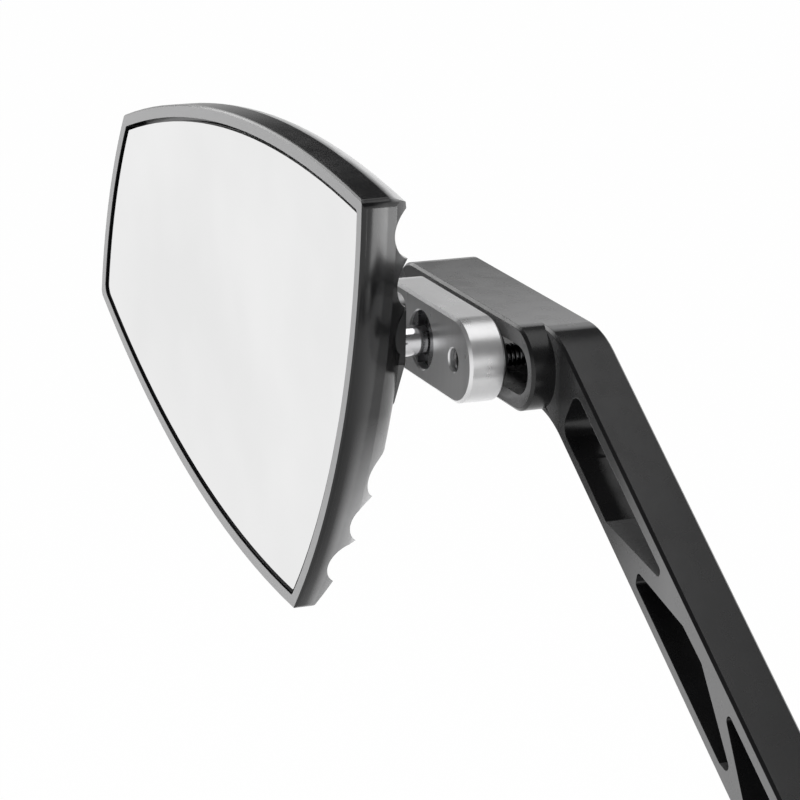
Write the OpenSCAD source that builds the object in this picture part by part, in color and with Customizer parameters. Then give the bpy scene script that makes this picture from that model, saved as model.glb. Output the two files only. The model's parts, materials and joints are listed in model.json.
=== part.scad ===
// Slot-mounted handlebar mirror: a slotted truss arm, a pivoting link, a ball stud and a fluted head.
// Millimetres. X runs along the slotted block toward the stem, the rider looks at the glass from -Y,
// Z is up. The origin lies on the stem axis, at the face of the washer under the foot.

/* [Head] */
// Width of the head's upper edge between its two upper corners.
top_w = 182.4; // [150:0.5:210]
// Height of the upper inner corner above the ball stud's axis.
corner_up = 43.2; // [34:0.5:50]
// Depth of the lower corner below the ball stud's axis.
corner_down = 77.4; // [60:0.5:90]
// Outward bulge of the upper, inner and lower edges.
edge_bulge = 11; // [7:0.25:14]
// Width of the flat front rim.
rim_w = 3; // [2:0.1:4]
// Distance from the rim's inner edge to the glass, with the rim's own overlap.
glass_gap = 1.7; // [1.2:0.1:2.5]
// Full depth of the head from rim to back.
head_t = 16.5; // [16:0.1:19]
// Centre distance of the flutes across the back.
flute_pitch = 13.6; // [12:0.1:14]
// Depth of each flute below the ridges beside it.
flute_d = 4.4; // [2:0.1:4.8]

/* [Ball joint] */
// Radius of the ball.
ball_r = 5.5; // [5:0.05:5.6]
// Radius of the polished stud.
stud_r = 4; // [3.8:0.05:4.4]
// Distance from the head's back to the link's front face.
standoff = 9.4; // [8:0.1:14]

/* [Link] */
// Height of the link and of the slotted block.
bar_h = 22; // [20:0.5:26]
// Thickness of the link.
link_t = 9.8; // [9:0.1:12]
// Distance between the centres of the link's round ends.
link_len = 40; // [36:0.5:50]
// Distance from the pivot screw to the ball stud.
stud_off = 20.5; // [18:0.5:24]
// Radius of the threaded bore that takes the slotted ring.
bore_r = 7.65; // [7.4:0.05:8.2]

/* [Arm] */
// Distance between the centres of the slotted block's round ends.
block_len = 66; // [60:0.5:80]
// Thickness of the arm.
arm_t = 13.4; // [12:0.1:16]
// Height of the raised slide face above the arm.
boss_t = 6.4; // [4:0.1:8]
// Half height of the slot in the slide face.
slot_r = 6.3; // [5.6:0.05:6.8]
// Slope of the lower arm below the horizontal, in degrees.
slope = 32; // [26:0.5:36]
// Width of the sloping arm across its flanges.
arm_w = 20.2; // [18.5:0.1:22]
// Length of the sloping arm from the bend to the foot.
arm_len = 166; // [162:0.5:190]
// Width of each flange face.
flange_w = 3.1; // [2.4:0.1:3.6]

/* [Fasteners] */
// Radius of the pivot screw.
screw_r = 3; // [2.6:0.05:3.1]
// Radius of the mounting stud.
stem_r = 5; // [4:0.5:5]
// Length of the mounting stud below the washer.
stem_len = 24; // [16:0.5:40]
// Place of the pivot screw along the slot, from the slot's right end centre.
pivot_back = 13.1; // [6:0.1:50]

/* [Hidden] */
run = 0.04;
edge = 0.75;
eps = 0.01;
half_h = bar_h / 2;
wall_s = 5.0;
slot_x1 = 1.7;
slot_x0 = -block_len + 1;
pivot_x = slot_x1 - pivot_back;
stud_x = pivot_x - stud_off;
spacer_t = 1.9;
y_boss = -boss_t;
y_link1 = y_boss - spacer_t;
y_link0 = y_link1 - link_t;
y_back = y_link0 - standoff;
y_front = y_back - head_t;
y_ball = y_back - 6.5;
pocket_y = 2.6;
slim_r = screw_r + 0.35;
// stacks along the stud, from the closed end of the bore
y_floor = y_link1 - 2.2;
y_wash = y_floor - 1;
y_flange = y_wash - 3;
ring_t = y_flange - (y_link0 + 0.55);
// seat shells round the ball
shell_ri = ball_r + 0.03;
shell_ro = ball_r + 1.7;
sock_r = shell_ro + 0.03;
plug_r = sock_r + 1.5;
neck_r = ball_r - 2.3;
// the foot
knee = [10, half_h];
foot_c = [knee[0] + arm_len * cos(slope) - arm_w / 2 * sin(slope),
  knee[1] - arm_len * sin(slope) - arm_w / 2 * cos(slope)];
foot_r = 11;
foot_h = 16;
foot_z = foot_c[1] - foot_h;
nut_h = 6;
stem_wash_t = 1.6;
stem_core = stem_r - 0.5;
foot_y = arm_t / 2;
origin = [foot_c[0], foot_y, foot_z - nut_h - stem_wash_t];

// corners of the head, measured from the stud axis: upper outer, upper inner, lower, outer
ca = [22 - top_w, corner_up - 15];
cb = [22, corner_up];
cc = [-21.7, -corner_down];
cd = [ca[0] - 21.7, -30.5];
function arc_r(l, s) = (l * l / 4 + s * s) / (2 * s);
function arc_of(p, q, s) = let (d = q - p, l = norm(d), r = arc_r(l, s))
  [(p[0] + q[0]) / 2 + d[1] / l * (r - s), (p[1] + q[1]) / 2 - d[0] / l * (r - s), r];
arcs = [arc_of(ca, cb, edge_bulge), arc_of(cb, cc, edge_bulge), arc_of(cc, cd, edge_bulge),
  arc_of(cd, ca, edge_bulge / 3)];
corners = [cb, cc, cd, ca];
corner_r = [2.5, 3.5, 5, 3.4];
function xy(a) = [a[0], a[1]];
function meet(a, b, s) = let (d = xy(b) - xy(a), l = norm(d), e = d / l,
  x = (l * l + a[2] * a[2] - b[2] * b[2]) / (2 * l), h = sqrt(max(0, a[2] * a[2] - x * x)))
  [a[0] + e[0] * x - s * e[1] * h, a[1] + e[1] * x + s * e[0] * h];
function nearer(p, q, c) = norm(p - c) < norm(q - c) ? p : q;
function cross_at(a, b, c) = nearer(meet(a, b, 1), meet(a, b, -1), c);
function shrink(a, k) = [a[0], a[1], a[2] - k];
function unit(v) = v / norm(v);

// head outline, drawn inward by k
module outline(k, grow = 0) {
  difference() {
    intersection() {
      for_arc(0, k);
      for_arc(1, k);
      for_arc(2, k);
      for_arc(3, k);
    }
    for (i = [0 : 3]) corner_cut(i, k, max(0.8, corner_r[i] - k * 0.4 + grow));
  }
}

module for_arc(i, k) {
  translate([arcs[i][0], arcs[i][1]]) circle(r = arcs[i][2] - k, $fn = 300);
}

// what is taken off at corner i to leave it round
module corner_cut(i, k, r) {
  a = shrink(arcs[i], k + r);
  b = shrink(arcs[(i + 1) % 4], k + r);
  p = cross_at(a, b, corners[i]);
  u = unit(p - xy(a)) * r * 5;
  v = unit(p - xy(b)) * r * 5;
  difference() {
    polygon([p, p + u, p + u + v, p + v]);
    translate(p) circle(r = r + eps, $fn = 48);
  }
}

// extrude a plan drawn in X and Z from y0 to y1
module along_y(y0, y1) {
  translate([0, y1, 0]) rotate([90, 0, 0]) linear_extrude(height = y1 - y0) children();
}

module rod_y(x, z, r, y0, y1, f = 64) {
  translate([x, y1, z]) rotate([90, 0, 0]) cylinder(r = r, h = y1 - y0, $fn = f);
}

module bar(x0, x1, r) {
  translate([x0, -r]) square([x1 - x0, 2 * r]);
  translate([x0, 0]) circle(r = r, $fn = 96);
  translate([x1, 0]) circle(r = r, $fn = 96);
}

// a bar with a bevel at its front and back edge
module bevelled_bar(x0, x1, r, y0, y1, c0, c1) {
  along_y(y0 + c0, y1 - c1) bar(x0, x1, r);
  if (c0 > 0) bevel_ring(x0, x1, r, y0, c0, 1);
  if (c1 > 0) bevel_ring(x0, x1, r, y1, c1, -1);
}

module bevel_ring(x0, x1, r, y, c, s) {
  for (x = [x0, x1]) translate([x, y, 0]) rotate([s * -90, 0, 0])
    cylinder(r1 = r - c, r2 = r, h = c, $fn = 96);
  translate([x0, y, 0]) rotate([0, 90, 0]) linear_extrude(height = x1 - x0)
    polygon([[-(r - c), 0], [-r, s * c], [r, s * c], [r - c, 0]]);
}

// a closed plan with round corners of radius r about the points p
module round_plan(p, r) {
  polygon(p);
  n = len(p);
  for (i = [0 : n - 1]) {
    a = p[i];
    d = p[(i + 1) % n] - a;
    translate(a) circle(r = r + eps, $fn = 32);
    translate(a) rotate(atan2(d[1], d[0])) translate([0, -r]) square([norm(d), 2 * r]);
  }
}

module on_slope() {
  translate(knee) rotate(-slope) children();
}

knee_r = 24;
root_r = 28;
up_slope = [sin(slope), cos(slope)];
knee_c = [knee[0] - knee_r * tan(slope / 2), knee[1] - knee_r];
// where the block's underside would meet the arm's lower edge, and the fillet's centre there
low = knee - arm_w * up_slope;
root = low + (low[1] + half_h) / sin(slope) * [cos(slope), -sin(slope)];
root_t = root_r * tan(slope / 2);
root_c = [root[0] - root_t, -half_h - root_r];
root_end = root + root_t * [cos(slope), -sin(slope)];

module on_slope_3d() {
  translate([knee[0], 0, knee[1]]) rotate([0, slope, 0]) children();
}

// straight rail along X, bevelled along its upper edges and, where foot is 1, its lower ones
module rail(x0, x1, z0, z1, foot) {
  c = foot * edge;
  translate([x0, 0, 0]) rotate([90, 0, 90]) linear_extrude(height = x1 - x0)
    polygon(concat(foot == 1 ? [[c, z0], [arm_t - c, z0], [arm_t, z0 + c]] : [[0, z0], [arm_t, z0]],
      [[arm_t, z1 - edge], [arm_t - edge, z1], [edge, z1], [0, z1 - edge]],
      foot == 1 ? [[0, z0 + c]] : []));
}

module bevelled_disc(c, r) {
  translate([c[0], 0, c[1]]) rotate([-90, 0, 0]) rotate_extrude($fn = 240)
    polygon([[0, 0], [r - edge, 0], [r, edge], [r, arm_t - edge], [r - edge, arm_t], [0, arm_t]]);
}

// the bend: the sector of a disc between the block and the sloping arm
module bend() {
  intersection() {
    bevelled_disc(knee_c, knee_r);
    along_y(-1, arm_t + 1) polygon([[knee_c[0], -half_h + 2], [knee_c[0], knee_c[1] + 29],
      knee_c + 29 / cos(slope / 2) * [sin(slope / 2), cos(slope / 2)], knee_c + 29 * up_slope,
      knee_c + (knee_r - arm_w) * up_slope]);
  }
}

// the hollow round under the block, bevelled like the edges it joins
module root_fillet() {
  difference() {
    along_y(0, arm_t) polygon([[root_c[0], -half_h + 3], [root_c[0], -half_h - 3],
      root_end - 3 * up_slope, root_end + 3 * up_slope]);
    translate([root_c[0], 0, root_c[1]]) rotate([-90, 0, 0]) rotate_extrude($fn = 240)
      polygon([[0, -1], [root_r + edge + eps, -1], [root_r + edge + eps, 0], [root_r + eps, edge],
        [root_r + eps, arm_t - edge], [root_r + edge + eps, arm_t],
        [root_r + edge + eps, arm_t + 1], [0, arm_t + 1]]);
  }
}

module arm_body() {
  bevelled_bar(-block_len, 0, half_h, y_boss, arm_t, edge, edge);
  rail(-2, knee_c[0], -half_h + 2, half_h, 0);
  bend();
  root_fillet();
  on_slope_3d() rail(knee_r * tan(slope / 2), arm_len, -arm_w, 0, 1);
  foot();
}

win_lo = -arm_w + flange_w;
win_hi = -flange_w - 0.4;
far_s = arm_len - 10;

// three windows, which leave two webs that slope opposite ways
module truss_windows() {
  on_slope() {
    round_plan([[20.5, win_hi - 4], [26, win_hi - 4], [26, win_lo + 4], [20.5, win_lo + 4]], 4);
    round_plan([[24, win_hi - 1.6], [73, win_hi - 1.5], [47, win_lo + 1.5], [24, win_lo + 1.7]], 1.4);
    round_plan([[68, win_lo + 2.8], [90, win_hi - 3.2], [101, win_hi - 2.9], [123.6, win_lo + 2.4],
      [121, win_lo + 1.5], [68.4, win_lo + 1.5]], 1.4);
    round_plan([[118.6, win_hi - 1.6], [far_s - 3, win_hi - 1.6], [143, win_lo + 2],
      [137.5, win_lo + 2.4]], 1.4);
  }
}

module arm_raw() {
  difference() {
    arm_body();
    along_y(y_boss - 1, pocket_y) bar(slot_x0, slot_x1, slot_r);
    along_y(pocket_y - 1, arm_t + 1) bar(slot_x0, slot_x1, slim_r);
    along_y(-1, arm_t + 1) truss_windows();
    translate([foot_c[0], foot_y, foot_z - 1]) cylinder(r = stem_core, h = 15, $fn = 64);
  }
}

module foot() {
  translate([foot_c[0], foot_y, foot_z]) {
    cylinder(r1 = foot_r - 0.8, r2 = foot_r, h = 0.8, $fn = 96);
    translate([0, 0, 0.8]) cylinder(r = foot_r, h = foot_h - 0.8, $fn = 96);
    translate([0, 0, foot_h]) cylinder(r1 = foot_r, r2 = foot_r - 5, h = 5, $fn = 96);
  }
}

module arm() {
  color([0.1, 0.1, 0.11]) arm_raw();
}

module mounting_stud() {
  color([0.72, 0.72, 0.74]) translate([foot_c[0], foot_y, origin[2]]) {
    translate([0, 0, -1]) cylinder(r = stem_core - 0.06, h = foot_z + 14.5 - origin[2], $fn = 64);
    translate([0, 0, 1 - stem_len]) cylinder(r = stem_r - 0.03, h = stem_len - 1, $fn = 64);
    translate([0, 0, -stem_len]) cylinder(r1 = stem_r - 1, r2 = stem_r - 0.03, h = 1 + eps, $fn = 64);
  }
}

module stem_nut() {
  color([0.7, 0.7, 0.72]) translate([foot_c[0], foot_y, foot_z - nut_h]) difference() {
    intersection() {
      linear_extrude(height = nut_h)
        polygon([for (i = [0 : 5]) stem_r * 1.963 * [cos(i * 60 + 30), sin(i * 60 + 30)]]);
      cylinder(r1 = stem_r * 1.75, r2 = stem_r * 1.75 + nut_h * 1.7, h = nut_h, $fn = 64);
      mirror([0, 0, 1]) translate([0, 0, -nut_h])
        cylinder(r1 = stem_r * 1.75, r2 = stem_r * 1.75 + nut_h * 1.7, h = nut_h, $fn = 64);
    }
    translate([0, 0, -1]) cylinder(r = stem_core, h = nut_h + 2, $fn = 64);
  }
}

module stem_washer() {
  color([0.75, 0.75, 0.76]) translate([foot_c[0], foot_y, foot_z - nut_h - stem_wash_t])
    difference() {
      cylinder(r = stem_r + 5, h = stem_wash_t, $fn = 96);
      translate([0, 0, -1]) cylinder(r = stem_r + 0.9, h = stem_wash_t + 2, $fn = 64);
    }
}

head_y = arm_t + 1.2 + 1.5;
screw_end = y_link0 + 0.9;

module pivot_screw() {
  color([0.13, 0.13, 0.14]) difference() {
    union() {
      rod_y(pivot_x, 0, screw_r - run, screw_end + 0.6, head_y + 1);
      translate([pivot_x, screw_end, 0]) rotate([-90, 0, 0])
        cylinder(r1 = screw_r - 0.6, r2 = screw_r - run, h = 0.6, $fn = 64);
      rod_y(pivot_x, 0, screw_r * 1.66, head_y, head_y + screw_r * 2 - 0.5, 96);
      translate([pivot_x, head_y + screw_r * 2 - 0.5, 0]) rotate([-90, 0, 0])
        cylinder(r1 = screw_r * 1.66, r2 = screw_r * 1.66 - 0.5, h = 0.5, $fn = 96);
    }
    translate([pivot_x, head_y + screw_r, 0]) rotate([-90, 0, 0]) linear_extrude(height = screw_r + 1)
      polygon([for (i = [0 : 5]) screw_r * 0.96 * [cos(i * 60), sin(i * 60)]]);
  }
}

module pivot_washer() {
  color([0.13, 0.13, 0.14]) difference() {
    rod_y(pivot_x, 0, 7.5, arm_t + run, arm_t + 1.2, 96);
    rod_y(pivot_x, 0, screw_r + 0.2, arm_t - 1, arm_t + 3);
  }
}

module lock_washer() {
  color([0.3, 0.3, 0.31]) difference() {
    rod_y(pivot_x, 0, screw_r + 2.3, arm_t + 1.2, head_y, 96);
    rod_y(pivot_x, 0, screw_r + 0.15, arm_t, head_y + 1);
    translate([pivot_x + screw_r - 0.5, arm_t, -0.35]) rotate([0, 0, 12]) cube([4, 5, 0.7]);
  }
}

module pivot_spacer() {
  color([0.2, 0.2, 0.21]) difference() {
    rod_y(pivot_x, 0, slot_r + 1, y_link1 + run, y_boss - run, 96);
    rod_y(pivot_x, 0, screw_r + 0.1, y_link1 - 1, y_boss + 1);
  }
}

module link_plate() {
  color([0.72, 0.72, 0.73]) difference() {
    bevelled_bar(pivot_x - link_len, pivot_x, half_h, y_link0, y_link1, edge, edge);
    rod_y(stud_x, 0, bore_r, y_link0 - 1, y_floor, 96);
    translate([stud_x, y_link0 - eps, 0]) rotate([-90, 0, 0])
      cylinder(r1 = bore_r + 0.35, r2 = bore_r, h = 0.35, $fn = 96);
    rod_y(pivot_x, 0, screw_r, y_link0 - 1, y_link1 + 1);
    translate([pivot_x, y_link0 - eps, 0]) rotate([-90, 0, 0])
      cylinder(r1 = screw_r + 0.35, r2 = screw_r, h = 0.35, $fn = 64);
  }
}

module retaining_ring() {
  color([0.3, 0.3, 0.31]) difference() {
    rod_y(stud_x, 0, bore_r - 0.03, y_link0 + 0.55, y_flange - run, 96);
    rod_y(stud_x, 0, stud_r + 0.05, y_link0 - 1, y_flange + 1);
    translate([stud_x, y_link0 + 0.55 - eps, 0]) rotate([-90, 0, 0])
      cylinder(r1 = stud_r + 0.75, r2 = stud_r + 0.05, h = 0.7, $fn = 64);
    translate([stud_x - 3.3, y_link0, stud_r - 1.5]) cube([6.6, 2.6, bore_r]);
    translate([stud_x - 3.3, y_link0, -stud_r + 1.5 - bore_r]) cube([6.6, 2.6, bore_r]);
  }
}

module stud_washer() {
  color([0.85, 0.85, 0.82]) difference() {
    rod_y(stud_x, 0, bore_r - 0.1, y_wash + run, y_floor, 64);
    rod_y(stud_x, 0, 3, y_wash - 1, y_floor + 1, 48);
  }
}

module ball_stud() {
  color([0.82, 0.82, 0.83]) {
    translate([stud_x, y_ball, 0]) rotate([90, 0, 0]) sphere(r = ball_r, $fn = 72);
    rod_y(stud_x, 0, neck_r, y_ball + 2, y_back + 1.4);
    translate([stud_x, y_back + 1.2, 0]) rotate([-90, 0, 0])
      cylinder(r1 = neck_r, r2 = stud_r, h = 0.8, $fn = 64);
    rod_y(stud_x, 0, stud_r, y_back + 2, y_wash - 0.5);
    rod_y(stud_x, 0, bore_r - 0.35, y_flange, y_wash, 96);
  }
}

// shell between two spheres about the ball's centre, kept from y0 to y1
module shell_zone(y0, y1) {
  intersection() {
    translate([stud_x, y_ball, 0]) rotate([90, 0, 0]) difference() {
      sphere(r = shell_ro, $fn = 72);
      sphere(r = shell_ri, $fn = 72);
    }
    rod_y(stud_x, 0, shell_ro + 1, y0, y1);
  }
}

module seat_rear() {
  color([0.9, 0.9, 0.87]) difference() {
    shell_zone(y_ball + 0.1, y_ball + shell_ro);
    rod_y(stud_x, 0, neck_r + 1.2, y_ball, y_back + 1);
  }
}

module seat_front() {
  color([0.9, 0.9, 0.87]) shell_zone(y_ball - 4, y_ball - 0.1);
}

module pressure_ring() {
  color([0.6, 0.6, 0.62]) difference() {
    rod_y(stud_x, 0, sock_r - 0.03, y_ball - 4.2, y_ball - 2.6, 64);
    translate([stud_x, y_ball, 0]) rotate([90, 0, 0]) sphere(r = sock_r, $fn = 72);
  }
}

module disc_spring() {
  color([0.55, 0.55, 0.57]) difference() {
    rod_y(stud_x, 0, sock_r - 0.05, y_ball - 4.85, y_ball - 4.2, 64);
    rod_y(stud_x, 0, sock_r - 1.1, y_ball - 6, y_ball - 3, 64);
  }
}

module seat_plug() {
  color([0.65, 0.65, 0.67]) difference() {
    rod_y(stud_x, 0, plug_r - 0.03, y_ball - 6.25, y_ball - 4.85, 64);
    rod_y(stud_x, 0, sock_r - 1.1, y_ball - 8, y_ball - 3, 64);
    for (s = [-1, 1]) translate([stud_x + s * plug_r - 1, y_ball - 7, -1]) cube([2, 3, 2]);
  }
}

// what is turned off one side of the head, about that side's arc centre
module side_cut(i, wall, run_in) {
  r = arcs[i][2];
  lift = head_t - wall;
  rho = (run_in * run_in + lift * lift) / (2 * lift);
  translate([stud_x + arcs[i][0], 0, arcs[i][1]]) rotate([90, 0, 0]) rotate_extrude($fn = 300) {
    difference() {
      translate([r - run_in, -y_back - 2]) square([run_in + 8, lift + 2]);
      translate([r - run_in, -y_back + rho - 0.06]) circle(r = rho, $fn = 120);
    }
    polygon([[r - 0.45 - 2, -y_front + 2], [r + 2, -y_front + 2], [r + 2, -y_front - 2.45]]);
  }
}

// the back is a wide barrel about an axis along X
dome_r = 250;
dome_z = -4;
function dome_drop(z) = (z - dome_z) * (z - dome_z) / (2 * dome_r);

module head_blank() {
  difference() {
    intersection() {
      translate([stud_x, 0, 0]) along_y(y_front, y_back) outline(0);
      translate([stud_x - 260, y_back - dome_r, dome_z]) rotate([0, 90, 0])
        cylinder(r = dome_r, h = 360, $fn = 400);
    }
    side_cut(0, 7.3, 9.5);
    side_cut(1, 1.3, 10.5);
    side_cut(2, 1.3, 14);
    side_cut(3, 1.3, 18);
  }
}

flute_r = (flute_pitch * flute_pitch / 4 + flute_d * flute_d) / (2 * flute_d);
// flute centre heights, in flute spacings from the lowest of the upper group
flute_at = [2, 1, 0];
flute_low = [0, 1, 2];

module flute(z) {
  translate([stud_x - 230, y_back - dome_drop(z) + flute_r - flute_d - 0.3, z]) rotate([0, 90, 0])
    cylinder(r = flute_r, h = 300, $fn = 120);
}

// the boss round the stud, which narrows downward and runs out in the back
module boss_plan() {
  round_plan([[stud_x - 2, -12], [stud_x + 2, -12], [stud_x + 8, -1], [stud_x + 8, 11],
    [stud_x - 8, 11], [stud_x - 8, -1]], 4);
}

module housing_raw() {
  difference() {
    union() {
      difference() {
        head_blank();
        for (i = flute_at) flute(6.6 + i * flute_pitch);
        for (i = flute_low) flute(-34.8 - i * flute_pitch);
      }
      along_y(y_back - 9, y_back) boss_plan();
    }
    translate([stud_x, 0, 0]) along_y(y_front - 1, y_front + 3.5) outline(rim_w + 0.45);
    difference() {
      translate([stud_x, 0, 0]) along_y(y_front + 3, y_front + 6.5) intersection() {
        outline(17, 6);
        translate([-300, -38]) square([600, 100]);
      }
      rod_y(stud_x, 0, 13, y_front + 2, y_back, 96);
      for (i = [0, 1]) translate([stud_x - 62 - i * 50, y_front + 3.5, -120]) cube([2.5, 40, 240]);
      translate([stud_x - 200, y_front + 3.5, -1]) cube([190, 40, 2.5]);
    }
    translate([stud_x, y_ball, 0]) rotate([90, 0, 0]) sphere(r = sock_r, $fn = 72);
    rod_y(stud_x, 0, sock_r, y_ball - 5, y_ball);
    rod_y(stud_x, 0, plug_r, y_front - 1, y_ball - 4.85);
    translate([stud_x, y_back + eps, 0]) rotate([90, 0, 0])
      cylinder(r1 = neck_r + 2.6, r2 = neck_r + 1.6, h = 2.6, $fn = 64);
  }
}

module mirror_housing() {
  color([0.08, 0.08, 0.09]) housing_raw();
}

module glass_pad() {
  color([0.06, 0.06, 0.06]) translate([stud_x, 0, 0])
    along_y(y_front + 2.5, y_front + 3.5) outline(9);
}

module mirror_glass() {
  color([0.9, 0.91, 0.92]) translate([stud_x, 0, 0])
    along_y(y_front + 0.6, y_front + 2.5) outline(rim_w + glass_gap);
}

module placed() {
  translate(-origin) children();
}

placed() arm();
placed() mounting_stud();
placed() stem_nut();
placed() stem_washer();
placed() pivot_screw();
placed() pivot_washer();
placed() lock_washer();
placed() pivot_spacer();
placed() link_plate();
placed() retaining_ring();
placed() stud_washer();
placed() ball_stud();
placed() seat_rear();
placed() seat_front();
placed() pressure_ring();
placed() disc_spring();
placed() seat_plug();
placed() mirror_housing();
placed() glass_pad();
placed() mirror_glass();
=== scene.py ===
# %% [markdown]
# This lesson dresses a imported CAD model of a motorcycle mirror: a shield-shaped head, a silver link
# and a black arm cut out to a truss. The CAD holds every rigid piece at its true size, so most of the
# work is camera, light and finish. Two screw threads and the head of a socket screw are too fine for
# the CAD and are made here as surfaces. Soft edges and tool marks come from the materials.
# All lengths are in metres, in the frame of the CAD model.

import json
import math

import bpy
import numpy as np
from mathutils import Matrix, Vector


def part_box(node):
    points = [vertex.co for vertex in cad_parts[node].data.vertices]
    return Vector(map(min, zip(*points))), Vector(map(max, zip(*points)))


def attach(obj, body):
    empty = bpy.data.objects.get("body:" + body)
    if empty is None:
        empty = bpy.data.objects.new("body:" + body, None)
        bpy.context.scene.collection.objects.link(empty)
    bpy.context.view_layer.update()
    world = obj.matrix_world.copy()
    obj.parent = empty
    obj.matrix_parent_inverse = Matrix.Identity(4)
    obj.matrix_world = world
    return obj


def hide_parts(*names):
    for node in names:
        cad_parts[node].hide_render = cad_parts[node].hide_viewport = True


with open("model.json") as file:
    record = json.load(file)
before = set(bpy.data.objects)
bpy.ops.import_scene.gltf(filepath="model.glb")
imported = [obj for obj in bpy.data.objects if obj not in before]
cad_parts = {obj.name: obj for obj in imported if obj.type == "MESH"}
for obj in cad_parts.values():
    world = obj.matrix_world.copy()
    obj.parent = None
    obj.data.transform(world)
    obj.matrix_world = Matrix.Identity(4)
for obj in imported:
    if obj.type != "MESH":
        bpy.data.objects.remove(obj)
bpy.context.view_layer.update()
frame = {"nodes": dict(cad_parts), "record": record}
nodes = frame["nodes"]

# %% [markdown]
# A camera is four facts: where it stands, which way it looks, which way is up, and how long the lens
# is. It could be set by eye, but then no proportion of the part can be trusted. So the straight edges
# and round ends of the link, the block and the arm were fitted to the photograph all at once, by
# least squares, and that gave these numbers. A long lens from about 1 m away keeps the edges nearly
# parallel, as a product photograph does.

# %% Camera
CAMERA_AT = (0.65693, -0.38627, 0.35983)
RIGHT = (0.387922, 0.921549, 0.016236)
DOWN = (0.265687, -0.094937, -0.959373)
FORWARD = (-0.882568, 0.376476, -0.281672)
FOCAL_PIXELS = 3678.05
IMAGE_PIXELS = 800
SENSOR_MM = 36.0


def make_camera():
    """Lens in mm = focal length in pixels / image width in pixels * sensor width."""
    data = bpy.data.cameras.new("camera")
    data.sensor_width = SENSOR_MM
    data.lens = FOCAL_PIXELS / IMAGE_PIXELS * data.sensor_width
    cam = bpy.data.objects.new("camera", data)
    columns = np.array([RIGHT, -np.array(DOWN), -np.array(FORWARD)]).T
    place = Matrix(columns.tolist()).to_4x4()
    place.translation = Vector(CAMERA_AT)
    cam.matrix_world = place
    bpy.context.collection.objects.link(cam)
    bpy.context.scene.camera = cam
    return cam


camera = make_camera()
print("lens", round(camera.data.lens, 2), "mm")

# %% [markdown]
# Every surface here, the world's included, is a tree of nodes. A few short helpers keep the trees
# readable: one makes a node and wires it, and the others are the sums that each finish needs.

# %% Node helpers
NODE_SPACING = 220
MIX_SOCKETS = {"FLOAT": (2, 0), "VECTOR": (4, 1), "RGBA": (6, 2)}


def new_material(name):
    """A material with an empty node tree."""
    mat = bpy.data.materials.new(name)
    mat.use_nodes = True
    mat.node_tree.nodes.clear()
    return mat


def add(tree, kind, inputs=None, **settings):
    """One node. Settings are its properties; inputs are values or the sockets that feed them."""
    node = tree.nodes.new("ShaderNode" + kind)
    node.location = (NODE_SPACING * len(tree.nodes), 0)
    for key, value in settings.items():
        setattr(node, key, value)
    for key, value in (inputs or {}).items():
        if isinstance(value, bpy.types.NodeSocket):
            tree.links.new(value, node.inputs[key])
        else:
            node.inputs[key].default_value = value
    return node


def maths(tree, operation, a, b):
    return add(tree, "Math", {0: a, 1: b}, operation=operation).outputs[0]


def times(tree, first, *others):
    """The product of all the values."""
    for other in others:
        first = maths(tree, "MULTIPLY", first, other)
    return first


def between(tree, value, start, end, low=0.0, high=1.0):
    """low where value is at start, high where it is at end, straight between, and held beyond."""
    return add(tree, "MapRange", {0: value, 1: start, 2: end, 3: low, 4: high}).outputs[0]


def mixed(tree, kind, share, a, b):
    """a where share is 0, b where it is 1. The Mix node has a pair of sockets for each kind."""
    first, out = MIX_SOCKETS[kind]
    return add(tree, "Mix", {0: share, first: a, first + 1: b}, data_type=kind).outputs[out]


def grey(value):
    return (value, value, value, 1)


print("kinds of mix:", ", ".join(MIX_SOCKETS))

# %% [markdown]
# The picture has a plain white surround. Stronger lamps could whiten a backdrop, but they would
# bleach the part too. Light Path tells which kind of ray meets a surface, so the world can be white
# to the camera and still give the part a plain, weaker light. Reflections see white up to the
# horizon and a dark ceiling, because black satin that mirrors white on all sides turns grey all over.

# %% World
WORLD_LIGHT = 0.55
WHITE_BELOW = 0.05
GLOW_AT, GLOW = 0.27, 0.6
CEILING_FROM, CEILING = 0.38, 0.1


def height_on_ramp(z):
    """A direction's height runs from -1 to 1, and a colour ramp from 0 to 1."""
    return (z + 1) / 2


def make_world():
    """White to the camera, WORLD_LIGHT to diffuse rays, and a strength by height to reflections.

    With z the height of the direction looked in, the reflected strength is 1 up to WHITE_BELOW,
    falls to GLOW at GLOW_AT and to CEILING at CEILING_FROM, and stays there.
    """
    world = bpy.data.worlds.new("studio")
    world.use_nodes = True
    tree = world.node_tree
    tree.nodes.clear()
    direction = add(tree, "TexCoord").outputs["Generated"]
    height = add(tree, "SeparateXYZ", {0: direction}).outputs["Z"]
    ramp = add(tree, "ValToRGB", {0: between(tree, height, -1.0, 1.0)})
    stops = ramp.color_ramp.elements
    stops[0].position, stops[0].color = height_on_ramp(WHITE_BELOW), grey(1.0)
    stops[1].position, stops[1].color = height_on_ramp(GLOW_AT), grey(GLOW)
    stops.new(height_on_ramp(CEILING_FROM)).color = grey(CEILING)
    lit = add(tree, "Background", {"Color": grey(1.0), "Strength": WORLD_LIGHT})
    mirrored = add(tree, "Background", {"Color": ramp.outputs[0], "Strength": 1.0})
    plain = add(tree, "Background", {"Color": grey(1.0), "Strength": 1.0})
    rays = add(tree, "LightPath").outputs
    rest = add(tree, "MixShader", {0: rays["Is Glossy Ray"], 1: lit.outputs[0], 2: mirrored.outputs[0]})
    seen = maths(tree, "MAXIMUM", rays["Is Camera Ray"], rays["Is Transmission Ray"])
    mix = add(tree, "MixShader", {0: seen, 1: rest.outputs[0], 2: plain.outputs[0]})
    add(tree, "OutputWorld", {"Surface": mix.outputs[0]})
    bpy.context.scene.world = world


make_world()
print("world:", WORLD_LIGHT, "to the object, 1 to the camera")

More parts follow.
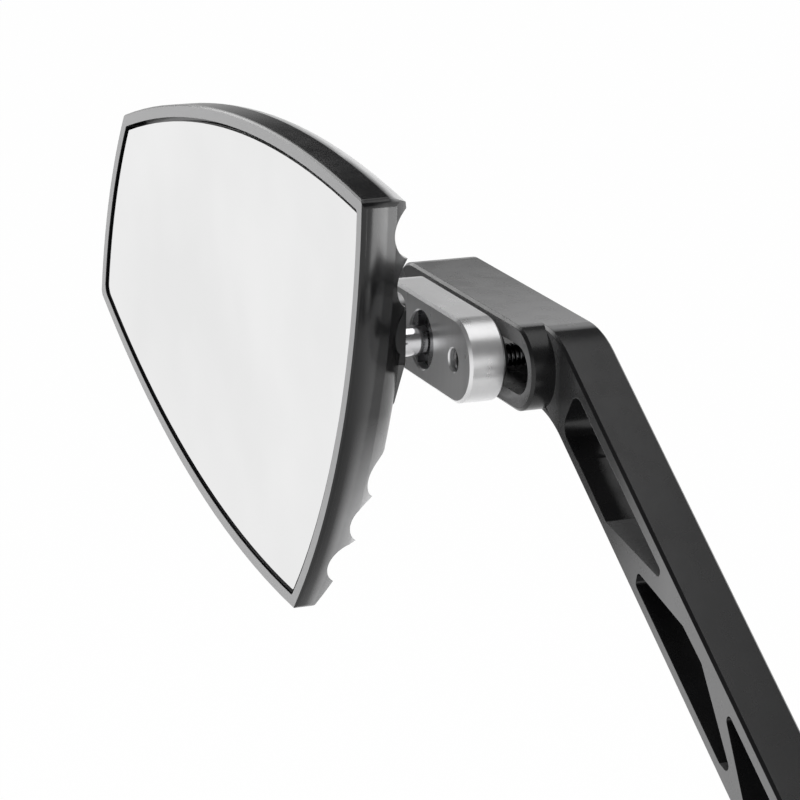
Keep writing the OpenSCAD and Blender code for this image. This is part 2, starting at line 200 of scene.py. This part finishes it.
# %% [markdown]
# The floor is one wide square well below the part. It is pale paint to the light, so it catches the
# part's shadow and sends some light back up. To the camera it is nearly all plain white with a small
# share of that paint, so the shadow shows only very faintly, as on a cut-out product picture.
# In reflections it is greyer right below the part, where the part itself would shade it.

# %% Floor
FLOOR_DROP, FLOOR_HALF = 0.42, 6.0
PAINT_GRAIN = 3.0, 4.0
PAINT_DARK, PAINT_LIGHT = 0.9, 0.94
WHITE_SHARE = 0.985
SHADE_FROM, SHADE_TO, SHADE_GLOW = 0.3, 0.8, 0.4


def seen_directly(tree):
    """1 for camera, glossy and transmission rays, 0 for the rays that light the object."""
    path = add(tree, "LightPath").outputs
    total = maths(tree, "ADD", path["Is Camera Ray"], path["Is Glossy Ray"])
    total = maths(tree, "ADD", total, path["Is Transmission Ray"])
    return maths(tree, "MINIMUM", total, 1.0)


def floor_finish():
    """Pale paint, mixed with WHITE_SHARE of white wherever the floor is seen directly.

    The white's strength is 1 to the camera. In reflections it grows with the distance from the
    origin, from SHADE_GLOW at SHADE_FROM to 1 at SHADE_TO.
    """
    mat = new_material("pale_floor")
    tree = mat.node_tree
    scale, detail = PAINT_GRAIN
    grain = add(tree, "TexNoise", {"Scale": scale, "Detail": detail}).outputs[0]
    paint = add(tree, "BsdfDiffuse", {"Color": between(tree, grain, 0.0, 1.0, PAINT_DARK, PAINT_LIGHT)})
    place = add(tree, "TexCoord").outputs["Object"]
    reach = add(tree, "VectorMath", {0: place}, operation="LENGTH").outputs["Value"]
    below = between(tree, reach, SHADE_FROM, SHADE_TO, SHADE_GLOW, 1.0)
    glossy = add(tree, "LightPath").outputs["Is Glossy Ray"]
    glow = mixed(tree, "FLOAT", glossy, 1.0, below)
    white = add(tree, "Emission", {"Color": grey(1.0), "Strength": glow})
    share = times(tree, seen_directly(tree), WHITE_SHARE)
    mix = add(tree, "MixShader", {0: share, 1: paint.outputs[0], 2: white.outputs[0]})
    add(tree, "OutputMaterial", {"Surface": mix.outputs[0]})
    return mat


def make_floor():
    half, z = FLOOR_HALF, -FLOOR_DROP
    corners = [(-half, -half, z), (half, -half, z), (half, half, z), (-half, half, z)]
    mesh = bpy.data.meshes.new("floor")
    mesh.from_pydata(corners, [], [(0, 1, 2, 3)])
    mesh.materials.append(floor_finish())
    floor = bpy.data.objects.new("floor", mesh)
    bpy.context.collection.objects.link(floor)


make_floor()
print("floor is", FLOOR_DROP, "m below the stud's washer")

# %% [markdown]
# Three large lamps shape the part: one overhead, one at the left in front, and one low behind it on
# the right, for the sides that the other two don't reach. Small lamps would give hard bright spots;
# large ones give soft edges to the reflections on satin and polished metal. They are weak, so that
# pale metal doesn't clip to white.

# %% Lamps
AIM = Vector((-0.19, -0.02, 0.1))
LAMPS = {
    "overhead": ((-0.2, 0.1, 1.3), (1.2, 1.0), 5.0),
    "left_front": ((-1.3, -0.45, 0.6), (0.7, 0.7), 5.0),
    "behind_right": ((0.15, 0.88, -0.18), (0.9, 0.32), 3.4),
}


def area_lamp(name, at, size, watts):
    """A rectangle of light at a place, turned to face AIM."""
    data = bpy.data.lights.new(name, "AREA")
    data.shape = "RECTANGLE"
    data.size, data.size_y = size
    data.energy = watts
    lamp = bpy.data.objects.new(name, data)
    lamp.location = at
    lamp.rotation_mode = "QUATERNION"
    lamp.rotation_quaternion = (AIM - Vector(at)).to_track_quat("-Z", "Y")
    bpy.context.collection.objects.link(lamp)


for lamp_name, (lamp_at, lamp_size, lamp_watts) in LAMPS.items():
    area_lamp(lamp_name, lamp_at, lamp_size, lamp_watts)
print("lamps:", len(LAMPS))

# %% [markdown]
# A finish looks real when nothing on it is quite even. A photographed texture could give that, but it
# has one resolution and needs a map of every piece. Noise gives it anywhere: it moves the tone, the
# roughness and a fine bump. It reads Object coordinates, which are metres on the piece itself, so
# the pattern stays put when a joint moves, and one scale means one real grain size on every piece.

# %% Position, noise and bump
NOISE_LOW, NOISE_HIGH = 0.3, 0.7
TONE_LOW, TONE_HIGH = 0.35, 0.65


def object_coords(tree, scale=(1, 1, 1)):
    """Object coordinates. A small scale along one axis draws a pattern out along that axis."""
    raw = add(tree, "TexCoord").outputs["Object"]
    return add(tree, "Mapping", {0: raw, "Scale": scale}).outputs[0]


def place_on(tree, axis):
    """One Object coordinate: X, Y or Z."""
    place = add(tree, "TexCoord").outputs["Object"]
    return add(tree, "SeparateXYZ", {0: place}).outputs[axis]


def noise(tree, coords, scale, detail, rough=0.5):
    return add(tree, "TexNoise",
               {"Vector": coords, "Scale": scale, "Detail": detail, "Roughness": rough}).outputs[0]


def spread(tree, value, low, high):
    """Noise stays mostly between NOISE_LOW and NOISE_HIGH; this spreads it over low to high."""
    return between(tree, value, NOISE_LOW, NOISE_HIGH, low, high)


def tone_ramp(tree, value, low, high):
    """A colour between low and high, as value goes from TONE_LOW to TONE_HIGH."""
    ramp = add(tree, "ValToRGB", {0: value})
    dark, light = ramp.color_ramp.elements
    dark.position = TONE_LOW
    light.position = TONE_HIGH
    dark.color = (*low, 1)
    light.color = (*high, 1)
    return ramp.outputs[0]


def finish_with(mat, inputs, height=None, strength=0.0, depth=0.0, normal=None):
    """Principled surface from the given inputs, with a fine bump where a height is given.

    normal is the shading normal that the bump starts from, if it isn't the surface's own.
    """
    tree = mat.node_tree
    if height is not None:
        settings = {"Strength": strength, "Distance": depth, "Height": height}
        if normal is not None:
            settings["Normal"] = normal
        inputs = {**inputs, "Normal": add(tree, "Bump", settings).outputs[0]}
    shader = add(tree, "BsdfPrincipled", inputs)
    add(tree, "OutputMaterial", {"Surface": shader.outputs[0]})
    return mat


print("noise is read from", NOISE_LOW, "to", NOISE_HIGH)

# %% [markdown]
# The real head's side walls are round right up to the front rim. In the CAD they stand straight for
# about 9 mm first. Rounder walls in the CAD would be the true way; a CAD mesh isn't changed here, so
# a bump bends the shading alone. Its height is a function of the distance behind the rim, in metres,
# so a straight wall shades like an arc, and no point of the mesh moves.

# %% Bent shading of the head's walls
head_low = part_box("mirror_housing")[0]
WALL_FROM = head_low[1] + 0.0008
SIDE_DEPTH, SIDE_RADIUS = 0.0084, 0.0096
BACK_DEPTH, BACK_FALL = 0.008, 0.55
TOP_DEPTH, TOP_RISE = 0.0068, 0.45
LOOKS_UP = 0.5, 0.8


def facing(tree, axis, start, full):
    """0 where the surface's normal along axis is below start, 1 where it is above full.

    axis is a component name with its sign, such as "-Y", in the part's own frame.
    """
    normal = add(tree, "TexCoord").outputs["Normal"]
    part = add(tree, "SeparateXYZ", {0: normal}).outputs[axis[-1]]
    if axis[0] == "-":
        part = times(tree, part, -1.0)
    return between(tree, part, start, full)


def behind(tree, front, depth):
    """Distance behind the plane y = front, held at depth."""
    return between(tree, place_on(tree, "Y"), front, front + depth, 0.0, depth)


def broad_bump(tree, height, normal):
    """A bump at full strength, whose height is in metres."""
    settings = {"Strength": 1.0, "Distance": 1.0, "Height": height, "Normal": normal}
    return add(tree, "Bump", settings).outputs[0]


def wall_crown(tree, normal):
    """Bent normals of the head's walls, from a height over distance u behind WALL_FROM.

    Sides: height = -u * u / (2 * SIDE_RADIUS) up to SIDE_DEPTH, then a straight fall of BACK_FALL.
    Faces that look up: a straight rise of TOP_RISE up to TOP_DEPTH.
    """
    u = behind(tree, WALL_FROM, SIDE_DEPTH)
    arc = times(tree, u, u, -0.5 / SIDE_RADIUS)
    fall = times(tree, behind(tree, WALL_FROM + SIDE_DEPTH, BACK_DEPTH), -BACK_FALL)
    sides = broad_bump(tree, maths(tree, "ADD", arc, fall), normal)
    rise = times(tree, behind(tree, WALL_FROM, TOP_DEPTH), TOP_RISE)
    upper = broad_bump(tree, rise, normal)
    return mixed(tree, "VECTOR", facing(tree, "+Z", *LOOKS_UP), sides, upper)


print("walls bend from y =", round(WALL_FROM, 4), "over", SIDE_DEPTH, "m")

# %% [markdown]
# A pale reflection lies along the back of the real walls, widest at the lower corner, and a few lamps
# don't give it. So a share of grey is painted there as a painted reflection, and another on a strip
# behind the upper wall that grows toward the arm. It is fitted to one view: seen from elsewhere it is a
# greyer band than the real part has. Each share is a number from 0 to 1 at every point, made from where
# the point lies and which way its face looks.

# %% Painted reflection on the head's walls
# Where the painted reflection lies on the walls and on the strip behind the upper wall, and how much.
SIDE_FROM, SIDE_FULL = WALL_FROM + 0.002, WALL_FROM + 0.011
LOWER_FADE = 0.094, 0.062
UPPER_FADE, UPPER_SHARE = (0.122, 0.15), 0.12
LOOKS_BACK = 0.6, 0.95
STRIP_FROM, STRIP_FULL = WALL_FROM + TOP_DEPTH, WALL_FROM + TOP_DEPTH + 0.002
STRIP_FADE, STRIP_SHARE = (-0.25, -0.19), 0.8


def wall_reflection_share(tree):
    """How much painted reflection lies on the head's walls: on the sides, plus a strip behind the upper
    wall.

    Sides: 0 up to SIDE_FROM and full from SIDE_FULL back; times 0 level with the ball stud, 1 at
    the lower corner and UPPER_SHARE at the upper one; and none where the face looks up or back.
    Strip: on faces that look up, behind STRIP_FROM, from 0 to STRIP_SHARE toward the arm.
    """
    y = place_on(tree, "Y")
    z = place_on(tree, "Z")
    back = between(tree, y, SIDE_FROM, SIDE_FULL)
    below = between(tree, z, *LOWER_FADE)
    above = between(tree, z, *UPPER_FADE, 0.0, UPPER_SHARE)
    not_up = maths(tree, "SUBTRACT", 1.0, facing(tree, "+Z", *LOOKS_UP))
    not_back = maths(tree, "SUBTRACT", 1.0, facing(tree, "+Y", *LOOKS_BACK))
    sides = times(tree, back, maths(tree, "ADD", below, above), not_up, not_back)
    behind_top = between(tree, y, STRIP_FROM, STRIP_FULL)
    near_arm = between(tree, place_on(tree, "X"), *STRIP_FADE, 0.0, STRIP_SHARE)
    strip = times(tree, behind_top, near_arm, facing(tree, "+Z", *LOOKS_UP))
    return maths(tree, "ADD", sides, strip)


print("pale from y =", round(SIDE_FROM, 4), "to", round(SIDE_FULL, 4))

# %% [markdown]
# Some flat faces look greyer in the photograph than the rest of the black, from the light they mirror:
# the head's front rim, the block's front and top, and the front of the slope below the bend. The upper
# sides of the webs catch some grey too. Each gets a share of painted reflection of its own. The greys of
# the arm change along it, because the light on the real one does, so they too are fitted to that one
# view.

# %% Painted reflections on the flat faces
# Where the painted reflections lie on the flat faces, and how much.
LOOKS_FORWARD = 0.8, 0.97
RIM_DEPTH = 0.0003
ARM_FRONT = -0.006
BLOCK_FADE, SLOPE_FADE, BEND_SHARE = (-0.142, -0.132), (-0.1, -0.07), 0.12
TOP_ABOVE, TOP_LOOKS_UP = 0.117, (0.98, 0.995)
TOP_FADE, TOP_SHARES = (-0.21, -0.14), (0.08, 0.75)
WEB_LOOKS_UP, WEB_NOT_RIGHT = (0.25, 0.4), (-0.3, -0.1)
WEB_RIGHT_OF, WEB_SHARE = -0.12, 0.55


def front_reflection_share(tree, front_from):
    """Painted reflection mask: 1 on faces that look forward and lie in front of y = front_from, so a
    slot's floor stays black.
    """
    outer = maths(tree, "LESS_THAN", place_on(tree, "Y"), front_from)
    return times(tree, outer, facing(tree, "-Y", *LOOKS_FORWARD))


def rim_reflection_share(tree):
    """Painted reflection on the head's front rim, to RIM_DEPTH behind its foremost point."""
    return front_reflection_share(tree, head_low[1] + RIM_DEPTH)


def arm_front_reflection_share(tree):
    """Painted reflection on the arm's outer front faces: 1 on the block, BEND_SHARE round the bend, 1
    down the slope.
    """
    x = place_on(tree, "X")
    block = between(tree, x, *BLOCK_FADE, 1.0, BEND_SHARE)
    slope = between(tree, x, *SLOPE_FADE, BEND_SHARE, 1.0)
    return times(tree, front_reflection_share(tree, ARM_FRONT), maths(tree, "MAXIMUM", block, slope))


def arm_top_reflection_share(tree):
    """Painted reflection on the block's top, above TOP_ABOVE, with a share that grows along X, plus the
    webs.

    The webs' upper sides are the faces right of WEB_RIGHT_OF that look up and not to the right.
    """
    x = place_on(tree, "X")
    high = maths(tree, "GREATER_THAN", place_on(tree, "Z"), TOP_ABOVE)
    growing = between(tree, x, *TOP_FADE, *TOP_SHARES)
    top = times(tree, growing, high, facing(tree, "+Z", *TOP_LOOKS_UP))
    webs = times(tree, facing(tree, "+Z", *WEB_LOOKS_UP), facing(tree, "-X", *WEB_NOT_RIGHT))
    webs = times(tree, webs, maths(tree, "GREATER_THAN", x, WEB_RIGHT_OF), WEB_SHARE)
    return maths(tree, "ADD", top, webs)


print("block's grey fades out at x =", BLOCK_FADE[1], "and comes back at", SLOPE_FADE[1])

# %% [markdown]
# Anodised aluminium looks black face on and grey at a glancing angle, because the dye takes the
# diffuse light and the clear oxide on top mirrors what is at the side. So the black itself stays
# very dark, and the greys above, painted reflections, are laid over it. Noise in the roughness and a
# tiny bump give the satin of a blasted and dyed part, and a Bevel node softens the look of the sharp
# edges.

# %% Black anodised finishes
CLOUD, SMUDGE, BLAST = (45.0, 5.0), (160.0, 4.0), (4200.0, 2.0)
BLAST_BUMP, BLAST_DEPTH = 0.12, 0.00002
SOFT_EDGE, EDGE_SAMPLES = 0.00025, 6
COOL = 1.01
# Greys of the painted reflections on the head's rim and walls and on the arm's front and top.
RIM_REFLECTION_GREY, WALL_REFLECTION_GREY = 0.4, 0.75
ARM_FRONT_REFLECTION_GREY, ARM_TOP_REFLECTION_GREY = 0.2, 0.3


def anodised(name, low, high, rough_low, rough_high, greys, crown=None):
    """Black satin. greys is a list of a painted reflection grey and its share, laid over the black one by
    one.

    crown turns the normal of the softened edges into one of broad curves, below the fine bump.
    """
    mat = new_material(name)
    tree = mat.node_tree
    coords = object_coords(tree)
    tone = tone_ramp(tree, noise(tree, coords, *CLOUD), low, high)
    for value, share in greys:
        tone = mixed(tree, "RGBA", share(tree), tone, (value, value, value * COOL, 1))
    rough = spread(tree, noise(tree, coords, *SMUDGE), rough_low, rough_high)
    normal = add(tree, "Bevel", {"Radius": SOFT_EDGE}, samples=EDGE_SAMPLES).outputs[0]
    if crown:
        normal = crown(tree, normal)
    return finish_with(mat, {"Base Color": tone, "Roughness": rough},
                       noise(tree, coords, *BLAST), BLAST_BUMP, BLAST_DEPTH, normal)


# Each black gets its painted reflection greys with their shares.
arm_black = anodised("arm_black_satin", (0.005, 0.005, 0.0055), (0.009, 0.009, 0.0095), 0.22, 0.3,
                     [(ARM_FRONT_REFLECTION_GREY, arm_front_reflection_share), (ARM_TOP_REFLECTION_GREY, arm_top_reflection_share)])
head_black = anodised("head_black_satin", (0.004, 0.004, 0.0045), (0.008, 0.008, 0.0085), 0.16, 0.22,
                      [(RIM_REFLECTION_GREY, rim_reflection_share), (WALL_REFLECTION_GREY, wall_reflection_share)], wall_crown)
print("finishes:", arm_black.name, head_black.name)

# %% [markdown]
# Brushed and turned metal has fine scratches that all run one way. Noise squeezed hard along one axis
# becomes long lines along it: upright on the link and the mounting stud, and front to back on the
# ball stud, the ring and the pivot screw. The same lines drive colour, roughness and bump, because on
# real metal one scratch changes all three. The link is a little less than full metal, which keeps it
# pale where it mirrors the dark ceiling.

# %% Metals
SCRATCH_DETAIL, SCRATCH_ROUGH = 4.0, 0.6
SCRATCH_BUMP, SCRATCH_DEPTH = 0.1, 0.00001
PATCH, PATCH_CHANGE = (120.0, 4.0), 0.04


def brushed(name, low, high, rough_low, rough_high, stretch, scale=500.0, metal=1.0):
    """Metal with scratches along the axis whose stretch is small, and a slow change in roughness."""
    mat = new_material(name)
    tree = mat.node_tree
    lines = noise(tree, object_coords(tree, stretch), scale, SCRATCH_DETAIL, SCRATCH_ROUGH)
    patch = noise(tree, object_coords(tree), *PATCH)
    tone = tone_ramp(tree, lines, low, high)
    rough = maths(tree, "ADD", spread(tree, lines, rough_low, rough_high),
                  spread(tree, patch, -PATCH_CHANGE, PATCH_CHANGE))
    return finish_with(mat, {"Base Color": tone, "Metallic": metal, "Roughness": rough},
                       lines, SCRATCH_BUMP, SCRATCH_DEPTH)


link_silver = brushed("link_brushed_aluminium", (0.83, 0.83, 0.835), (0.88, 0.88, 0.885), 0.28, 0.34,
                      (1, 1, 0.04), 420.0, 0.8)
stud_bright = brushed("stud_polished", (0.74, 0.74, 0.75), (0.84, 0.84, 0.85), 0.06, 0.12, (1, 0.02, 1))
ring_steel = brushed("ring_dark_steel", (0.16, 0.16, 0.165), (0.26, 0.26, 0.27), 0.22, 0.34, (1, 0.05, 1))
black_oxide = brushed("black_oxide", (0.16, 0.16, 0.165), (0.24, 0.24, 0.245), 0.16, 0.24, (1, 0.05, 1))
zinc = brushed("zinc_plate", (0.5, 0.5, 0.5), (0.66, 0.66, 0.66), 0.25, 0.38, (1, 1, 0.05))
inner_steel = brushed("inner_steel", (0.4, 0.4, 0.41), (0.5, 0.5, 0.51), 0.3, 0.42, (1, 1, 0.1))
print("metals: 6")

# %% [markdown]
# The spacer and the ball's seats are moulded plastic, and the pad behind the glass is foam: a cloudy
# tone, a fine grain and no metal. The glass is silvered on its back, and here that is a metal mirror
# with a faint haze in the roughness, because clear glass over a mirror would look nearly the same
# and render more slowly.

# %% Plastic, foam and glass
PLASTIC_CLOUD, PLASTIC_GRAIN = (60.0, 4.0), (900.0, 3.0)
PLASTIC_BUMP, PLASTIC_DEPTH = 0.2, 0.00003
HAZE = 14.0, 3.0


def plain_plastic(name, low, high, rough_low, rough_high):
    mat = new_material(name)
    tree = mat.node_tree
    coords = object_coords(tree)
    tone = tone_ramp(tree, noise(tree, coords, *PLASTIC_CLOUD), low, high)
    fine = noise(tree, coords, *PLASTIC_GRAIN)
    return finish_with(mat, {"Base Color": tone, "Roughness": spread(tree, fine, rough_low, rough_high)},
                       fine, PLASTIC_BUMP, PLASTIC_DEPTH)


def make_glass():
    """Silvered glass: the same slow noise drives a small change of tone and of roughness."""
    mat = new_material("mirror_glass")
    tree = mat.node_tree
    haze = noise(tree, object_coords(tree), *HAZE)
    tone = tone_ramp(tree, haze, (0.78, 0.78, 0.78), (0.84, 0.84, 0.84))
    rough = spread(tree, haze, 0.02, 0.045)
    return finish_with(mat, {"Base Color": tone, "Metallic": 1.0, "Roughness": rough})


spacer_black = plain_plastic("spacer_black", (0.015, 0.015, 0.016), (0.025, 0.025, 0.026), 0.4, 0.55)
seat_white = plain_plastic("seat_white", (0.72, 0.71, 0.68), (0.8, 0.79, 0.76), 0.35, 0.5)
pad_black = plain_plastic("pad_foam", (0.015, 0.015, 0.015), (0.03, 0.03, 0.03), 0.75, 0.9)
glass_face = make_glass()
print("plastics, foam and glass: 4")

# %% [markdown]
# A CAD node whose shape is right keeps its mesh and only gets a better material. The record names a
# finish for every node, so one table from those names to the materials dresses all of them.

# %% Put the finishes on the CAD nodes
FINISH_OF = {
    "arm_black": arm_black, "head_black": head_black, "link_silver": link_silver,
    "stud_polished": stud_bright, "ring_dark": ring_steel, "black_steel": black_oxide,
    "spacer_black": spacer_black, "zinc_steel": zinc, "inner_steel": inner_steel,
    "seat_plastic": seat_white, "pad_foam": pad_black, "glass_face": glass_face,
}
slot_of = {row["node"]: row["material_slot"] for row in frame["record"]["subparts"]}
for name, node in nodes.items():
    for slot in node.material_slots:
        slot.material = FINISH_OF[slot_of[name]]
print("dressed:", len(nodes))

# %% [markdown]
# A turned part is one surface: a radius for every length along the axis, carried round it. A screw
# thread is the same surface with a radius that also depends on the angle: it is highest where the
# length, less one pitch per turn, is at a crest. A Screw modifier could sweep one too, but a formula
# can also cut the ends to a cone. It is worked out for a whole grid of angles and lengths at once,
# and the two ends are closed with flat caps.

# %% Surfaces of revolution
PIVOT_AT = (-0.1568238, 0, 0.1091319)


def mesh_object(name, points, faces, mat):
    mesh = bpy.data.meshes.new(name)
    mesh.from_pydata(points.tolist(), [], faces)
    mesh.validate()
    mesh.shade_smooth()
    mesh.materials.append(mat)
    piece = bpy.data.objects.new(name, mesh)
    bpy.context.collection.objects.link(piece)
    return piece


def grid_faces(rings, around):
    """Quads between ring i and ring i + 1, closed round the axis. The two ends stay open."""
    i = np.arange(rings - 1)[:, None] * around
    j = np.arange(around)[None, :]
    k = (j + 1) % around
    quads = np.stack([i + j, i + k, i + around + k, i + around + j], axis=-1)
    return quads.reshape(-1, 4).tolist()


def turned(name, radius, length, mat, axis_at, along_y, around):
    """Point = axis point + radius * (cos a, sin a) across the axis + length along it.

    length has one value for each ring. radius has one for each ring and angle.
    """
    rings = len(length)
    angle = np.linspace(0, 2 * np.pi, around, endpoint=False)
    across = radius * np.cos(angle), radius * np.sin(angle)
    run = np.broadcast_to(length[:, None], (rings, around))
    if along_y:
        points = np.stack([across[0], run, -across[1]], axis=-1)
    else:
        points = np.stack([across[0], across[1], run], axis=-1)
    points = points.reshape(-1, 3) + np.array(axis_at)
    faces = grid_faces(rings, around)
    faces.append(list(range(around))[::-1])
    faces.append([(rings - 1) * around + j for j in range(around)])
    return mesh_object(name, points, faces, mat)


print("pivot axis at", PIVOT_AT)

# %% [markdown]
# The mounting stud is a plain fine-pitch M10, and its thread shows below the foot. Ten rings to each
# pitch are enough to draw crest and root. The crest lies a little inside the CAD's plain cylinder, so
# the dressed part isn't larger than the CAD.

# %% Thread on the mounting stud
RINGS_A_PITCH, THREAD_AROUND = 10, 56
GROOVE_DEPTH = 0.61
CREST_SLOPE, CREST_CUT = 1.25, 0.1
END_DROP, END_SLOPE = 1.1, 1.2
STEM_CREST, STEM_PITCH, STEM_TOP = 0.00495, 0.00125, 0.0205


def thread_radius(length, angle, crest, depth, pitch, ends):
    """r = crest - depth * v, where v is 0 on the crest and 1 in the root of a V-shaped groove.

    With u = length / pitch - angle / turn, v = 1 - clip(CREST_SLOPE * |2 * frac(u) - 1| - CREST_CUT,
    0, 1). Both ends are cut to a cone, as on a cut thread: r is at most crest - END_DROP * depth +
    END_SLOPE * distance from the end.
    """
    u = length[:, None] / pitch - angle[None, :] / (2 * np.pi)
    ridge = np.clip(CREST_SLOPE * np.abs(2 * (u - np.floor(u)) - 1) - CREST_CUT, 0, 1)
    r = crest - depth * (1 - ridge)
    from_end = np.minimum(length - ends[0], ends[1] - length)[:, None]
    return np.minimum(r, crest - depth * END_DROP + from_end * END_SLOPE)


def threaded(name, crest, pitch, low, high, mat, axis_at, along_y):
    """A thread from low to high along its axis, GROOVE_DEPTH of a pitch deep."""
    length = np.linspace(low, high, int((high - low) / pitch * RINGS_A_PITCH))
    angle = np.linspace(0, 2 * np.pi, THREAD_AROUND, endpoint=False)
    r = thread_radius(length, angle, crest, pitch * GROOVE_DEPTH, pitch, (low, high))
    return turned(name, r, length, mat, axis_at, along_y, THREAD_AROUND)


stem_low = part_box("mounting_stud")[0]
stem = threaded("stem_thread", STEM_CREST, STEM_PITCH, stem_low[2], STEM_TOP, zinc, (0, 0, 0), False)
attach(stem, "arm")
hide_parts("mounting_stud")
print("stem thread:", len(stem.data.polygons), "faces")

# %% [markdown]
# The pivot screw is a socket cap screw. Its black thread shows in the block's slot, and its head is
# behind the arm. The socket could be cut with a Boolean, which leaves ragged faces. Here the head is
# one turned profile: up the side, over a soft edge and in across the top, and the socket is the
# same surface carried on inward, where the radius follows a hexagon.

# %% Pivot screw
screw_low, screw_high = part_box("pivot_screw")
PIVOT_CREST, PIVOT_PITCH = 0.00294, 0.0012
HEAD_HEIGHT, HEAD_AROUND, THREAD_OVERLAP = 0.006, 96, 0.0002
# A radius and a distance below the top: under the head, up its side, over the edge, in to the socket.
HEAD_PROFILE = [(0.0024, HEAD_HEIGHT), (0.00478, HEAD_HEIGHT), (0.00498, 0.0058), (0.00498, 0.0005),
                (0.00483, 0.00015), (0.00448, 0.0), (0.00305, 0.0)]
# Half the width over flats and a distance below the top: the socket's mouth, its wall and its floor.
SOCKET_PROFILE = [(0.0026, 0.0001), (0.0025, 0.0003), (0.0025, 0.0028)]
SHARP_ABOVE = math.radians(35)
head_top = screw_high[1]
thread_end = head_top - HEAD_HEIGHT + THREAD_OVERLAP


def hexagon(angle, flat):
    """r = flat / cos(angle to the middle of the nearest side), with flat half the width over flats."""
    nearest = (angle + np.pi / 6) % (np.pi / 3) - np.pi / 6
    return flat / np.cos(nearest)


def cap_head(name, mat):
    """Rings along Y: r is the profile's radius on the head, and the hexagon's in the socket."""
    angle = np.linspace(0, 2 * np.pi, HEAD_AROUND, endpoint=False)
    circles = [np.full(HEAD_AROUND, r) for r, down in HEAD_PROFILE]
    hexagons = [hexagon(angle, flat) for flat, down in SOCKET_PROFILE]
    length = np.array([head_top - down for size, down in HEAD_PROFILE + SOCKET_PROFILE])
    return turned(name, np.array(circles + hexagons), length, mat, PIVOT_AT, True, HEAD_AROUND)


shank = threaded("pivot_thread", PIVOT_CREST, PIVOT_PITCH, screw_low[1], thread_end, black_oxide,
                 PIVOT_AT, True)
cap = cap_head("pivot_cap_head", black_oxide)
cap.modifiers.new("edges", "EDGE_SPLIT").split_angle = SHARP_ABOVE
for piece in (shank, cap):
    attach(piece, "carriage")
    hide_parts("pivot_screw")
print("pivot screw from", round(screw_low[1], 4), "to", round(head_top, 4))

# %% [markdown]
# The render uses Blender's plain view transform, so a colour comes out as it is written. The dressed
# part must not be larger than the CAD.

# %% Close
bpy.context.scene.view_settings.view_transform = "Standard"
